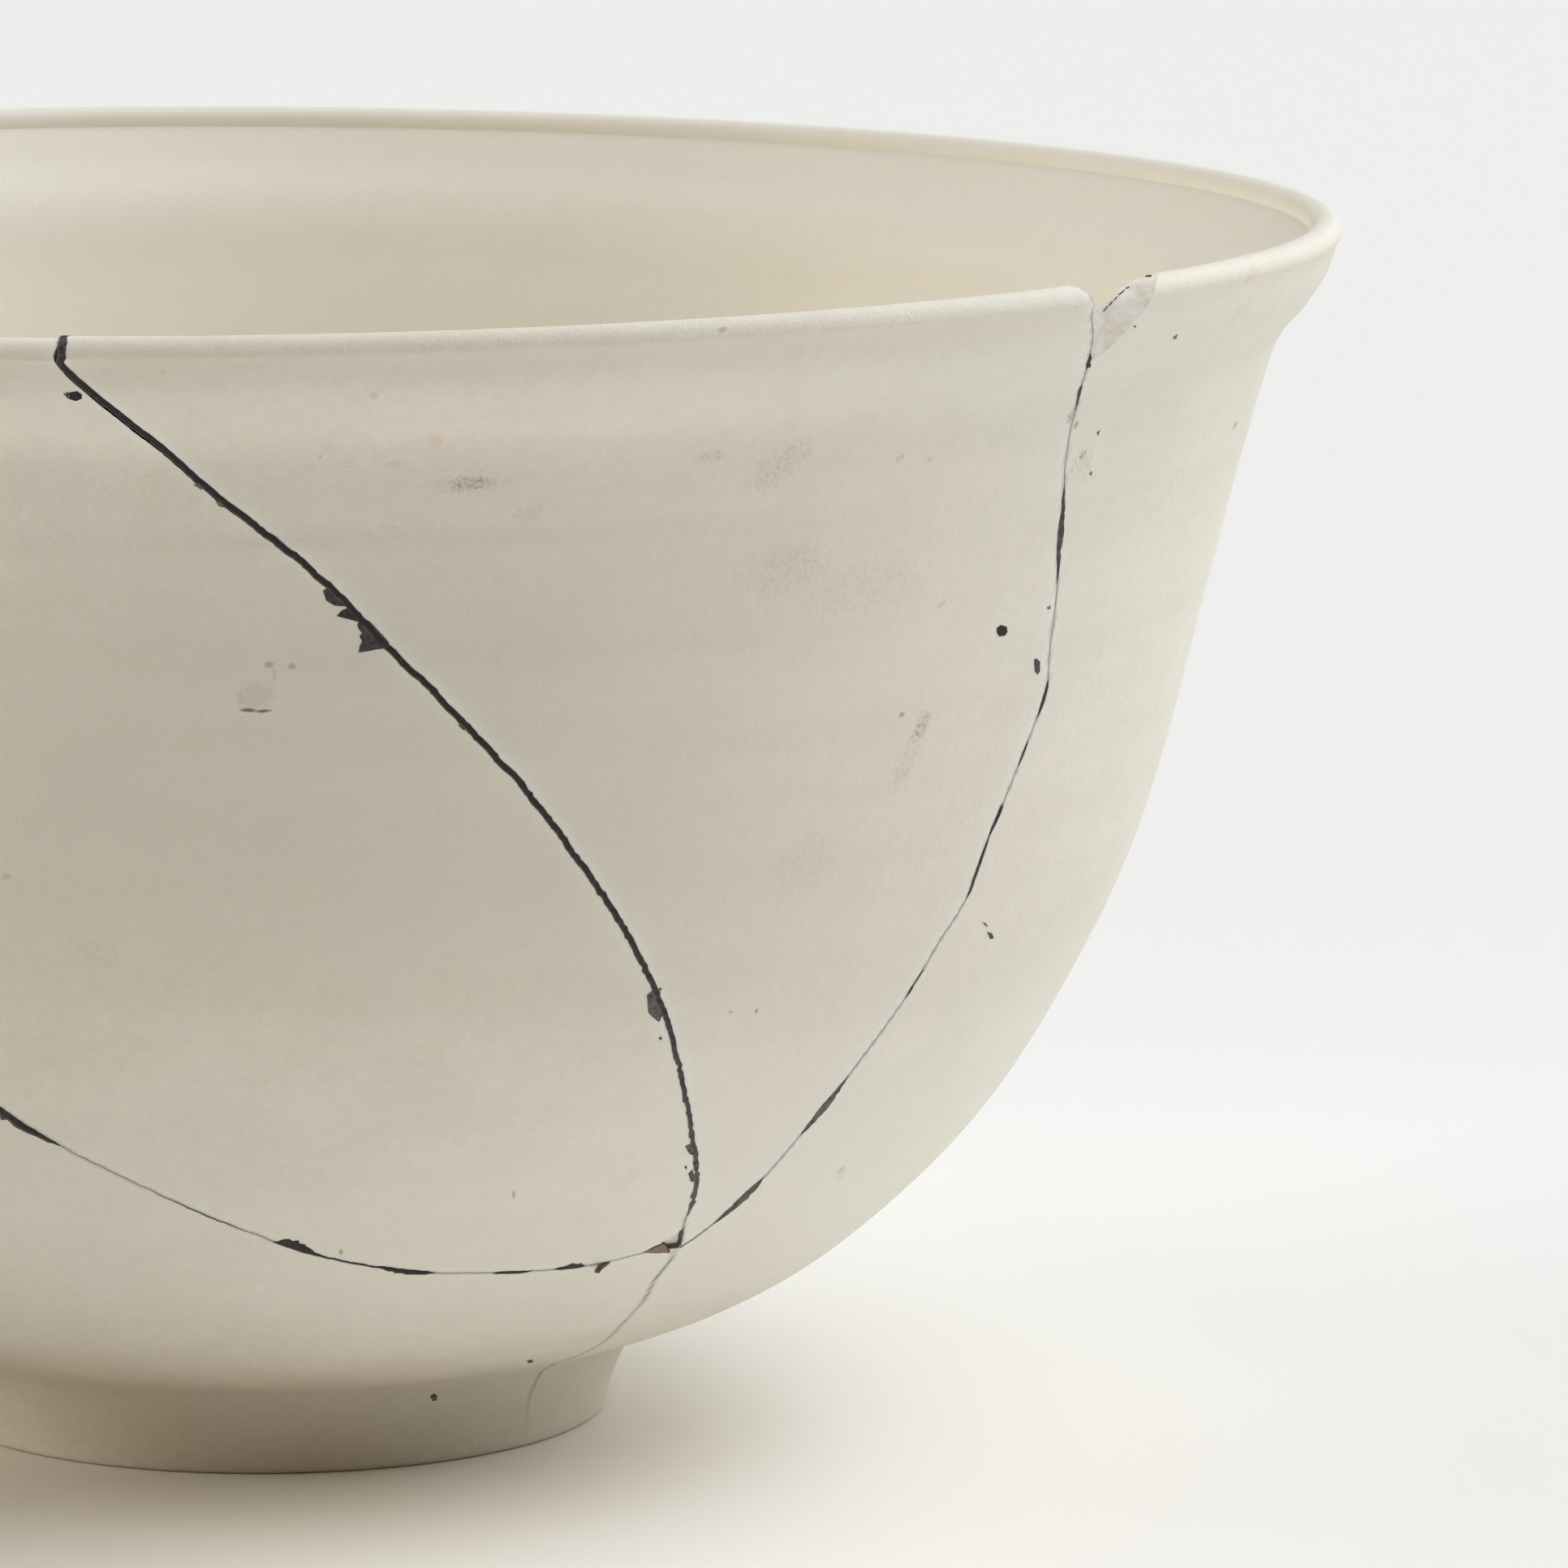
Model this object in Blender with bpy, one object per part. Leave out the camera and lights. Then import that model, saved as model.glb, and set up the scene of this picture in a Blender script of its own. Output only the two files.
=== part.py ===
"""A small porcelain bowl, thrown thin on a foot ring, broken and put back together.

The bowl stands on its foot with its axis on Z. It was made in one, and broke into a
body that kept the foot and two sherds of the wall. Front is -Y; angles are degrees
round the axis from +X, seen from above, so the front of the bowl is at -90.
"""

import bpy
import bmesh
from math import cos, sin, hypot, pi, radians
from mathutils import Matrix, Vector

MM = 0.001

# The thrown bowl
HEIGHT = 86.0 * MM
RIM_RADIUS = 75.0 * MM
RIM_WARP = 0.39 * MM
LIP_THICKNESS = 2.2 * MM
WALL_AT_LIP = 2.2 * MM
WALL_AT_FOOT = 3.8 * MM
FLOOR_THICKNESS = 4.2 * MM

# The trimmed foot ring
FOOT_RADIUS = 24.0 * MM
FOOT_HEIGHT = 7.0 * MM
FOOT_FLARE = 4.5 * MM
FOOT_RING_WIDTH = 3.2 * MM
FOOT_RECESS = 5.0 * MM
FOOT_EDGE = 0.5 * MM

# The break: width of the joints, and the point inside the bowl that they all face
JOINT_GAP = 0.4 * MM
JOINT_FOCUS = 55.0 * MM

TURNS = 72
RING_SPACING = 5.5 * MM
SEAM_SPACING = 4.0

# Shape of the foot's flank and of the wall above it, each from its lower to its upper
# end: (share of the way out, share of the way up)
FLANK = [(0.11, 0.33), (0.29, 0.61), (0.51, 0.83), (1.0, 1.0)]
WALL = [
    (0.068, 0.013), (0.146, 0.032), (0.224, 0.057), (0.374, 0.127), (0.510, 0.215), (0.617, 0.317),
    (0.718, 0.443), (0.770, 0.544), (0.822, 0.671), (0.890, 0.835), (0.933, 0.905), (0.963, 0.924),
    (1.002, 0.956),
]

# The seams on the outside of the wall: (degrees round, share of the height)
JUNCTION = (-51.6, 0.221)
LEFT_SEAM = [
    (-96.8, 1.003), (-97.3, 0.986), (-96.0, 0.963), (-91.3, 0.893), (-84.8, 0.814), (-76.3, 0.692),
    (-68.9, 0.578), (-62.2, 0.457), (-57.7, 0.358), (-53.5, 0.269),
]
RIGHT_SEAM = [
    (-46.0, 0.312), (-41.1, 0.419), (-38.0, 0.503), (-36.0, 0.605), (-34.5, 0.672), (-35.5, 0.736),
    (-37.0, 0.830), (-38.1, 0.905), (-39.6, 0.938), (-40.9, 0.977), (-41.4, 0.994), (-42.8, 1.004),
]
LOWER_SEAM = [
    (-58.0, 0.216), (-66.0, 0.215), (-74.0, 0.222), (-83.5, 0.243), (-92.0, 0.282), (-99.4, 0.326),
    (-105.5, 0.373), (-113.0, 0.450), (-121.0, 0.565), (-129.0, 0.705), (-136.0, 0.855), (-141.0, 1.003),
]

# The flake lost from the rim beside the front sherd, as the edges of the bare break:
# (degrees round, share of the height, share of the wall's thickness in from outside)
CHIP_OUTER_TOP = (-35.3, 0.996, 0.0)
CHIP_OUTER_END = (-39.3, 0.936, 0.0)
CHIP_INNER_END = (-38.0, 0.973, 1.0)
CHIP_SIZE = 14.0 * MM

PORCELAIN = (0.60, 0.55, 0.47, 1.0)
PORCELAIN_ROUGHNESS = 0.55


def between(points, spacing):
    """The points joined by a smooth curve, with more of them where they lie far apart."""
    ends = [tuple(2 * a - b for a, b in zip(points[0], points[1]))]
    ends += list(points)
    ends += [tuple(2 * a - b for a, b in zip(points[-1], points[-2]))]
    curve = []
    for before, start, stop, after in zip(ends, ends[1:], ends[2:], ends[3:]):
        steps = max(1, round(spacing(start, stop)))
        for step in range(steps):
            t = step / steps
            curve.append(tuple(
                0.5 * (2 * b + (c - a) * t + (2 * a - 5 * b + 4 * c - d) * t ** 2 + (3 * b - a - 3 * c + d) * t ** 3)
                for a, b, c, d in zip(before, start, stop, after)))
    return curve + [points[-1]]


def outer_wall():
    """The outside of the wall, (radius, height) from the top of the foot to under the lip."""
    inner = FOOT_RADIUS + FOOT_FLARE
    stations = [
        (inner + out * (RIM_RADIUS - inner), FOOT_HEIGHT + up * (HEIGHT - FOOT_HEIGHT))
        for out, up in WALL
    ]
    return between(stations, lambda a, b: hypot(b[0] - a[0], b[1] - a[1]) / RING_SPACING)


def inner_wall(outer):
    """The same points moved in by the wall's thickness, square to the wall."""
    moved = []
    for index, (radius, height) in enumerate(outer):
        low = outer[max(index - 1, 0)]
        high = outer[min(index + 1, len(outer) - 1)]
        out, up = high[0] - low[0], high[1] - low[1]
        length = hypot(out, up)
        share = (height - outer[0][1]) / (outer[-1][1] - outer[0][1])
        thickness = WALL_AT_FOOT + share * (WALL_AT_LIP - WALL_AT_FOOT)
        moved.append((radius - thickness * up / length, height + thickness * out / length))
    return moved


def bowl_section():
    """Half the bowl's section, from the middle of its underside round to the middle of its floor."""
    ring_inside = FOOT_RADIUS - FOOT_RING_WIDTH
    underside = [
        (0.0, FOOT_RECESS),
        (ring_inside - 0.10 * FOOT_RING_WIDTH - 0.20 * FOOT_RECESS, FOOT_RECESS),
        (ring_inside - 0.10 * FOOT_RING_WIDTH, 0.80 * FOOT_RECESS),
        (ring_inside, FOOT_EDGE),
        (ring_inside + FOOT_EDGE, 0.0),
    ]
    foot = [(FOOT_RADIUS - FOOT_EDGE, 0.0), (FOOT_RADIUS, FOOT_EDGE)]
    foot += [(FOOT_RADIUS + out * FOOT_FLARE, up * FOOT_HEIGHT) for out, up in FLANK]
    outer = outer_wall()
    half = LIP_THICKNESS / 2
    lip = [
        (RIM_RADIUS + half * cos(radians(turn)), HEIGHT - half + half * sin(radians(turn)))
        for turn in (-25, 10, 50, 90, 130, 170, 205)
    ]
    inner = inner_wall(outer)
    edge_radius, edge_height = inner[0]
    middle = FOOT_RECESS + FLOOR_THICKNESS
    floor = [
        (edge_radius * share, middle + (edge_height - middle) * share ** 2)
        for share in (0.72, 0.40)
    ]
    return underside + foot + outer + lip + inner[::-1] + floor + [(0.0, middle)]


def warp(point):
    """The rim rose and fell a little in the kiln, more the higher up the wall."""
    x, y, z = point
    lift = -RIM_WARP * 2 * x * y / RIM_RADIUS ** 2 * (z / HEIGHT) ** 2
    return Vector((x, y, z + lift))


def on_wall(turn, share, depth=0.0):
    """The point of the wall at an angle and a share of the height, some way into its thickness."""
    height = share * HEIGHT
    ring = outer_wall() + [(RIM_RADIUS + LIP_THICKNESS / 2, HEIGHT - LIP_THICKNESS / 2), (RIM_RADIUS, HEIGHT)]
    radius = RIM_RADIUS
    for (low_radius, low), (high_radius, high) in zip(ring, ring[1:]):
        if low <= height <= high:
            radius = low_radius + (height - low) / (high - low) * (high_radius - low_radius)
    radius -= depth
    return warp((radius * cos(radians(turn)), radius * sin(radians(turn)), height))


def new_object(name, bm):
    mesh = bpy.data.meshes.new(name)
    bmesh.ops.recalc_face_normals(bm, faces=bm.faces)
    bm.to_mesh(mesh)
    bm.free()
    piece = bpy.data.objects.new(name, mesh)
    bpy.context.scene.collection.objects.link(piece)
    return piece


def thrown_bowl(name):
    """The whole bowl, turned from its section."""
    bm = bmesh.new()
    section = [bm.verts.new((radius, 0.0, height)) for radius, height in bowl_section()]
    profile = [bm.edges.new(pair) for pair in zip(section, section[1:])]
    bmesh.ops.spin(
        bm, geom=section + profile, axis=(0.0, 0.0, 1.0), cent=(0.0, 0.0, 0.0),
        angle=2 * pi, steps=TURNS, use_merge=True)
    bmesh.ops.remove_doubles(bm, verts=bm.verts, dist=0.001 * MM)
    for vert in bm.verts:
        vert.co = warp(vert.co)
    return new_object(name, bm)


def seam(points):
    """A seam's course over the wall, smoothed."""
    return between(points, lambda a, b: hypot(b[0] - a[0], (b[1] - a[1]) * 66) / SEAM_SPACING)


def over_rim(point):
    """The place well above the rim over the end of a seam."""
    return (point[0], 1.16)


def cutter(name, bm):
    piece = new_object(name, bm)
    piece.hide_render = True
    piece.display_type = 'WIRE'
    return piece


def sherd_cell(name, outline, growth):
    """Everything that lies behind a sherd's outline, seen from the focus inside the bowl.

    The outline is moved out by growth, and the cell's sides run from the focus through
    it to well outside the wall.
    """
    focus = Vector((0.0, 0.0, JOINT_FOCUS))
    points = [on_wall(turn, share) for turn, share in outline]
    count = len(points)
    area = sum(
        outline[i][0] * outline[(i + 1) % count][1] - outline[(i + 1) % count][0] * outline[i][1]
        for i in range(count))
    way = 1 if area > 0 else -1
    far = []
    for index, point in enumerate(points):
        along = (points[(index + 1) % count] - points[index - 1]).normalized()
        outward = (point - focus).normalized()
        side = along.cross(outward).normalized() * way
        far.append(focus + 1.6 * (point + side * growth - focus))
    middle = sum(points, Vector()) / count
    reach = Vector((middle.x, middle.y, 0.0)).normalized() * 2.0 * RIM_RADIUS
    bm = bmesh.new()
    inside = bm.verts.new(focus)
    outside = bm.verts.new(focus + reach)
    rim = [bm.verts.new(point) for point in far]
    for index in range(count):
        after = rim[(index + 1) % count]
        bm.faces.new((inside, rim[index], after))
        bm.faces.new((outside, after, rim[index]))
    return cutter(name, bm)


def chip_cutter(name):
    """A block whose one face is the bare break left where the rim lost its flake."""
    top = on_wall(CHIP_OUTER_TOP[0], CHIP_OUTER_TOP[1], CHIP_OUTER_TOP[2] * WALL_AT_LIP)
    end = on_wall(CHIP_OUTER_END[0], CHIP_OUTER_END[1], CHIP_OUTER_END[2] * WALL_AT_LIP)
    inner = on_wall(CHIP_INNER_END[0], CHIP_INNER_END[1], CHIP_INNER_END[2] * WALL_AT_LIP)
    down = (end - top).normalized()
    normal = down.cross(inner - end).normalized()
    if normal.z < 0:
        normal = -normal
    across = normal.cross(down)
    middle = (top + end) / 2 + normal * CHIP_SIZE / 2
    turn = Matrix((down, across, normal)).transposed().to_4x4()
    bm = bmesh.new()
    bmesh.ops.create_cube(bm, size=CHIP_SIZE, matrix=Matrix.Translation(middle) @ turn)
    return cutter(name, bm)


def cut(piece, tool, operation):
    modifier = piece.modifiers.new(tool.name, 'BOOLEAN')
    modifier.operation = operation
    modifier.solver = 'EXACT'
    modifier.object = tool


def finish(piece):
    """Keeps the cut shape, shades it smooth and gives it its porcelain."""
    graph = bpy.context.evaluated_depsgraph_get()
    mesh = bpy.data.meshes.new_from_object(piece.evaluated_get(graph))
    piece.modifiers.clear()
    piece.data = mesh
    mesh.name = piece.name
    mesh.shade_smooth()
    mesh.set_sharp_from_angle(angle=radians(35))
    material = bpy.data.materials.new(piece.name + " porcelain")
    material.use_nodes = True
    surface = material.node_tree.nodes["Principled BSDF"]
    surface.inputs["Base Color"].default_value = PORCELAIN
    surface.inputs["Roughness"].default_value = PORCELAIN_ROUGHNESS
    surface.inputs["Metallic"].default_value = 0.0
    mesh.materials.clear()
    mesh.materials.append(material)


for leftover in list(bpy.data.objects):
    bpy.data.objects.remove(leftover, do_unlink=True)

left_course = seam(LEFT_SEAM + [JUNCTION])
right_course = seam([JUNCTION] + RIGHT_SEAM)
lower_course = seam([JUNCTION] + LOWER_SEAM)
front_outline = [over_rim(left_course[0])] + left_course + right_course[1:] + [over_rim(right_course[-1])]
left_outline = [over_rim(lower_course[-1])] + lower_course[::-1] + left_course[-2::-1]
left_outline += [over_rim(left_course[0])]

half_gap = JOINT_GAP / 2
front_inside = sherd_cell("front_sherd_cell", front_outline, -half_gap)
left_inside = sherd_cell("left_sherd_cell", left_outline, -half_gap)
front_place = sherd_cell("front_sherd_place", front_outline, half_gap)
left_place = sherd_cell("left_sherd_place", left_outline, half_gap)
lost_flake = chip_cutter("rim_chip")

# The body keeps the foot, the floor, the back and the right of the wall
bowl_body = thrown_bowl("bowl_body")
cut(bowl_body, front_place, 'DIFFERENCE')
cut(bowl_body, left_place, 'DIFFERENCE')
cut(bowl_body, lost_flake, 'DIFFERENCE')

# The sherd at the front, from the rim down to a point low on the wall
front_sherd = thrown_bowl("front_sherd")
cut(front_sherd, front_inside, 'INTERSECT')

# The sherd at the left, with its lower edge sweeping round under the front one
left_sherd = thrown_bowl("left_sherd")
cut(left_sherd, left_inside, 'INTERSECT')

for piece in (bowl_body, front_sherd, left_sherd):
    finish(piece)
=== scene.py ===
"""A small porcelain bowl, thrown thin, broken and mended with dark lacquer.

The bowl stands on a white sweep in soft daylight. Lengths are in millimetres where a
name or a comment says so, and in metres in the meshes. Angles are degrees round the
bowl's axis from +X, seen from above, so its front, at -Y, is at -90.
"""

from bisect import bisect_right
from math import atan2, cos, degrees, exp, hypot, pi, radians, sin, sqrt

import bmesh
import bpy
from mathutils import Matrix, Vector, noise
from mathutils.bvhtree import BVHTree
from mathutils.kdtree import KDTree


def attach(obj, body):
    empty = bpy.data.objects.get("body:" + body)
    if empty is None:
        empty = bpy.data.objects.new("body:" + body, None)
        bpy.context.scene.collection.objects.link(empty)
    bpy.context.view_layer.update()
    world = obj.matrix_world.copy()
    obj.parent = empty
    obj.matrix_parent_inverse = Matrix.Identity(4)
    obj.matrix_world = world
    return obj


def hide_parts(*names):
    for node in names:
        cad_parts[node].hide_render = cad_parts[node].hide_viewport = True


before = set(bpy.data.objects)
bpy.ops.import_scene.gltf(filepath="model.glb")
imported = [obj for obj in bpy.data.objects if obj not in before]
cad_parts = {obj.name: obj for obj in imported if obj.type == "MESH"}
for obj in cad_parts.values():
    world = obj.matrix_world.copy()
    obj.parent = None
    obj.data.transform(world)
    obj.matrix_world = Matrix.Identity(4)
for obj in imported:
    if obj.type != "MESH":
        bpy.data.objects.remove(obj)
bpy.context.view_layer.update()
collection = bpy.context.scene.collection
MM = 0.001


# ---- The view ----
# The photograph looks down a little on the bowl from three quarters of a metre away,
# level from side to side, through a long lens that crops to the bowl's right side.

PHOTO_PIXELS = 1932
FOCAL_PIXELS = 13262.0
CAMERA_PLACE = Vector((0.03676, -0.75727, 0.16720))
CAMERA_DIP = 9.172
SENSOR = 36.0

camera = bpy.data.objects.new("photo_view", bpy.data.cameras.new("photo_view"))
camera.location = CAMERA_PLACE
camera.rotation_euler = (radians(90.0 - CAMERA_DIP), 0.0, 0.0)
camera.data.sensor_width = SENSOR
camera.data.lens = FOCAL_PIXELS / PHOTO_PIXELS * SENSOR
camera.data.clip_start = 0.01
collection.objects.link(camera)
bpy.context.scene.camera = camera
bpy.context.scene.view_settings.view_transform = 'Standard'


# ---- The sweep and the light ----
# A white paper sweep runs out behind the bowl, and wide soft lights stand round it: most
# of the light comes from above and the right, least from the camera's side.

SWEEP_WHITE = (0.895, 0.887, 0.868, 1.0)
SWEEP_SIDE = 8.0
ROOM_LIGHT = (1.0, 0.985, 0.955)
ROOM_STRENGTH = 0.012
# name, degrees round, degrees up, softness in degrees, strength, colour
SOFT_LIGHTS = [
    ("overhead_light", 0.0, 90.0, 70.0, 0.87, (0.60, 0.78, 1.0)),
    ("right_light", 0.0, 50.0, 60.0, 1.70, (1.0, 0.985, 0.93)),
    ("right_back_light", 45.0, 30.0, 50.0, 1.21, (0.965, 0.985, 1.0)),
    ("left_light", 180.0, 20.0, 40.0, 1.295, (1.0, 0.915, 0.78)),
    ("front_light", -90.0, 50.0, 60.0, 0.25, (1.0, 0.66, 0.30)),
]


def new_piece(name, bm, *materials):
    """An object of the bmesh's shape, at the origin."""
    mesh = bpy.data.meshes.new(name)
    bm.to_mesh(mesh)
    bm.free()
    for material in materials:
        mesh.materials.append(material)
    piece = bpy.data.objects.new(name, mesh)
    collection.objects.link(piece)
    return piece


class Finish:
    """A material, built up node by node."""

    def __init__(self, name, **constants):
        self.material = bpy.data.materials.new(name)
        self.material.use_nodes = True
        self.tree = self.material.node_tree
        self.surface = self.tree.nodes["Principled BSDF"]
        self.wear(**constants)

    def feed(self, socket, value):
        if isinstance(value, Reading):
            self.tree.links.new(value.socket, socket)
        else:
            socket.default_value = value

    def wear(self, **sockets):
        """Sets or feeds the surface's own sockets."""
        for socket, value in sockets.items():
            self.feed(self.surface.inputs[socket.replace("_", " ")], value)

    def node(self, kind, inputs=None, output=0, **settings):
        """One node: its settings first, then the values or links of its sockets."""
        node = self.tree.nodes.new("ShaderNode" + kind)
        for setting, value in settings.items():
            setattr(node, setting, value)
        for socket, value in (inputs or {}).items():
            self.feed(node.inputs[socket], value)
        return Reading(self, node.outputs[output])

    def place(self, scale=1000.0):
        """The point on the piece, in millimetres unless the scale says otherwise."""
        spot = self.node("TexCoord", output="Object")
        return self.node("Mapping", {"Vector": spot, "Scale": (scale, scale, scale)})

    def grain(self, where, size, detail=2.0, roughness=0.5):
        """Soft noise, 0 to 1 about 0.5, with lumps of the size."""
        return self.node("TexNoise", {
            "Vector": where, "Scale": 1.0 / size, "Detail": detail, "Roughness": roughness})

    def spread(self, value, low, high, to_low=0.0, to_high=1.0):
        """The value's range brought softly to another."""
        return self.node("MapRange", {
            "Value": value, "From Min": low, "From Max": high, "To Min": to_low, "To Max": to_high},
            interpolation_type='SMOOTHSTEP')

    def blend(self, share, first, second, kind='MIX'):
        """Two colours mixed."""
        return self.node(
            "Mix", {0: share, 6: first, 7: second}, output=2, data_type='RGBA', blend_type=kind)

    def marked(self, name):
        """What the piece's own mesh says at each point under a name."""
        return self.node("Attribute", output="Fac", attribute_name=name)


class Reading:
    """What a socket gives at each point, to be reckoned with as a number is."""

    def __init__(self, finish, socket):
        self.finish = finish
        self.socket = socket

    def reckon(self, operation, *values):
        return self.finish.node("Math", dict(enumerate(values)), operation=operation)

    def __add__(self, other):
        return self.reckon('ADD', self, other)

    __radd__ = __add__

    def __sub__(self, other):
        return self.reckon('SUBTRACT', self, other)

    def __rsub__(self, other):
        return self.reckon('SUBTRACT', other, self)

    def __mul__(self, other):
        return self.reckon('MULTIPLY', self, other)

    __rmul__ = __mul__


sweep_paper = Finish("sweep_paper", Roughness=0.9, Specular_IOR_Level=0.1)
paper_shade = tuple(0.985 * tone for tone in SWEEP_WHITE[:3]) + (1.0,)
sweep_paper.wear(Base_Color=sweep_paper.blend(
    sweep_paper.grain(sweep_paper.place(), 0.6), paper_shade, SWEEP_WHITE))

bm = bmesh.new()
bmesh.ops.create_grid(bm, x_segments=1, y_segments=1, size=SWEEP_SIDE / 2)
sweep = new_piece("sweep", bm, sweep_paper.material)

world = bpy.data.worlds.new("soft_room")
world.use_nodes = True
room = world.node_tree.nodes["Background"]
room.inputs["Color"].default_value = ROOM_LIGHT + (1.0,)
room.inputs["Strength"].default_value = ROOM_STRENGTH
bpy.context.scene.world = world

for name, turn, rise, softness, strength, colour in SOFT_LIGHTS:
    light = bpy.data.objects.new(name, bpy.data.lights.new(name, 'SUN'))
    light.data.angle = radians(softness)
    light.data.energy = strength
    light.data.color = colour
    towards = Vector((
        cos(radians(turn)) * cos(radians(rise)), sin(radians(turn)) * cos(radians(rise)), sin(radians(rise))))
    light.location = towards
    light.rotation_euler = towards.to_track_quat('Z', 'Y').to_euler()
    collection.objects.link(light)


# ---- The thrown bowl ----
# Porcelain thrown on the wheel to a thin, open wall with a half-round lip, then turned
# upside down to trim the foot ring. The shape here is one half section, run round.

HEIGHT = 86.0
RIM_RADIUS = 75.0
RIM_WARP = 0.39
LIP_THICKNESS = 2.2
WALL_AT_LIP = 2.2
WALL_AT_FOOT = 3.8
FLOOR_THICKNESS = 4.2
FOOT_RADIUS = 24.0
FOOT_HEIGHT = 7.0
FOOT_FLARE = 4.5
FOOT_RING_WIDTH = 3.2
FOOT_RECESS = 5.0
FOOT_EDGE = 0.5
# (share of the way out, share of the way up) from the lower end of each
FLANK = [(0.0, 0.07), (0.11, 0.33), (0.29, 0.61), (0.51, 0.83), (1.0, 1.0)]
WALL = [
    (0.0, 0.0), (0.068, 0.013), (0.146, 0.032), (0.224, 0.057), (0.374, 0.127), (0.510, 0.215),
    (0.617, 0.317), (0.718, 0.443), (0.770, 0.544), (0.822, 0.671), (0.890, 0.835), (0.933, 0.905),
    (0.963, 0.924), (1.002, 0.956), (1.016, 0.976),
]
# The marks the fingers left going up the outside: (height, how far it stands out)
RINGS = [
    (14.0, 0.0), (18.0, 0.02), (21.0, 0.05), (24.5, -0.03), (30.0, 0.01), (36.0, 0.04), (40.5, -0.03),
    (46.0, 0.0), (50.3, 0.05), (54.0, -0.03), (57.0, 0.03), (59.5, -0.03), (62.3, 0.04), (65.5, -0.04),
    (70.2, 0.03), (71.5, 0.09), (72.3, -0.05), (74.0, -0.05), (76.9, 0.07), (81.0, -0.04), (82.5, 0.03), (83.9, -0.06), (84.6, 0.0)]
# The wall is fuller than round on the right, below the lip: (height, how far out)
RIGHT_FULLNESS = [
    (55.0, 0.0), (62.0, 0.12), (68.0, 0.33), (76.0, 0.36), (80.0, 0.36), (82.5, 0.15), (84.6, 0.0)]
RIGHT_MIDDLE = -5.0
RIGHT_SPREAD = 30.0
TURNS = 240
MESH_STEP = 0.7
CURVE_STEP = 0.1
# Near the seams the mesh is divided again, to carry their fine edges
FINE_BAND = 1.5
FINE_CUTS = 3


def smooth(points, spacing):
    """The points joined by a smooth curve, with steps of about the spacing along it."""
    spans = [sqrt(sum((b - a) ** 2 for a, b in zip(p, q))) for p, q in zip(points, points[1:])]
    slopes = []
    for i in range(len(points)):
        before = [(b - a) / spans[i - 1] for a, b in zip(points[i - 1], points[i])] if i else None
        after = [(b - a) / spans[i] for a, b in zip(points[i], points[i + 1])] if i < len(spans) else None
        if before and after:
            share = spans[i] / (spans[i - 1] + spans[i])
            slopes.append([b * share + a * (1 - share) for b, a in zip(before, after)])
        else:
            slopes.append(before or after)
    curve = []
    for p, q, m, n, span in zip(points, points[1:], slopes, slopes[1:], spans):
        steps = max(1, round(span / spacing))
        for step in range(steps):
            t = step / steps
            curve.append(tuple(
                (1 + 2 * t) * (1 - t) ** 2 * a + t * (1 - t) ** 2 * span * u
                + t * t * (3 - 2 * t) * b + t * t * (t - 1) * span * w
                for a, b, u, w in zip(p, q, m, n)))
    return curve + [tuple(points[-1])]


def lookup(rows, value, column=1):
    """A column of the rows, read between their first numbers."""
    i = min(max(bisect_right(rows, (value,)), 1), len(rows) - 1)
    low, high = rows[i - 1], rows[i]
    share = min(1.0, max(0.0, (value - low[0]) / (high[0] - low[0])))
    return low[column] + share * (high[column] - low[column])


foot_top = FOOT_RADIUS + FOOT_FLARE
flank_points = [(FOOT_RADIUS + out * FOOT_FLARE, up * FOOT_HEIGHT) for out, up in FLANK]
wall_points = [
    (foot_top + out * (RIM_RADIUS - foot_top), FOOT_HEIGHT + up * (HEIGHT - FOOT_HEIGHT))
    for out, up in WALL]
flank = smooth(flank_points, MESH_STEP)
outer = smooth(wall_points, MESH_STEP)
inner = []
for index in range(2, len(outer) - 2, 2):
    (low_radius, low), (high_radius, high) = outer[max(index - 3, 0)], outer[min(index + 3, len(outer) - 1)]
    out, up = high_radius - low_radius, high - low
    share = (outer[index][1] - FOOT_HEIGHT) / (HEIGHT - FOOT_HEIGHT)
    thickness = WALL_AT_FOOT + share * (WALL_AT_LIP - WALL_AT_FOOT)
    inner.append((
        outer[index][0] - thickness * up / hypot(out, up),
        outer[index][1] + thickness * out / hypot(out, up)))
inner = [point for point in inner if 11.5 < point[1] < HEIGHT - 2.0]
half_lip = LIP_THICKNESS / 2
lip = [
    (RIM_RADIUS + half_lip * cos(radians(turn)), HEIGHT - half_lip + half_lip * sin(radians(turn)))
    for turn in range(-18, 205, 12)]
outside = [
    (height, radius)
    for radius, height in smooth(flank_points, CURVE_STEP)[:-1] + smooth(wall_points, CURVE_STEP) + lip[1:9]]
inside = [(height, radius) for radius, height in inner + lip[:9:-1]]
ring_relief = smooth(RINGS, 0.5)


def relief(turn, height):
    """How far the outside stands out from its mean shape, at an angle and a height."""
    round_it = Vector((cos(radians(turn)), sin(radians(turn)), 0.0))
    wander = noise.noise(round_it * 3.0 + Vector((0.0, 0.0, height * 0.02)))
    strength = 0.8 + 0.6 * wander - 0.35 * exp(-((turn + 20.0) / 25.0) ** 2)
    uneven = noise.noise(round_it * 2.5 + Vector((0.0, 5.0, height * 0.04)))
    fade = min(1.0, max(0.0, (height - 9.0) / 12.0)) * min(1.0, max(0.0, (84.4 - height) / 2.0))
    fuller = lookup(RIGHT_FULLNESS, height) * exp(-((turn - RIGHT_MIDDLE) / RIGHT_SPREAD) ** 2)
    return strength * lookup(ring_relief, height) + 0.10 * fade * uneven + fuller


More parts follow.
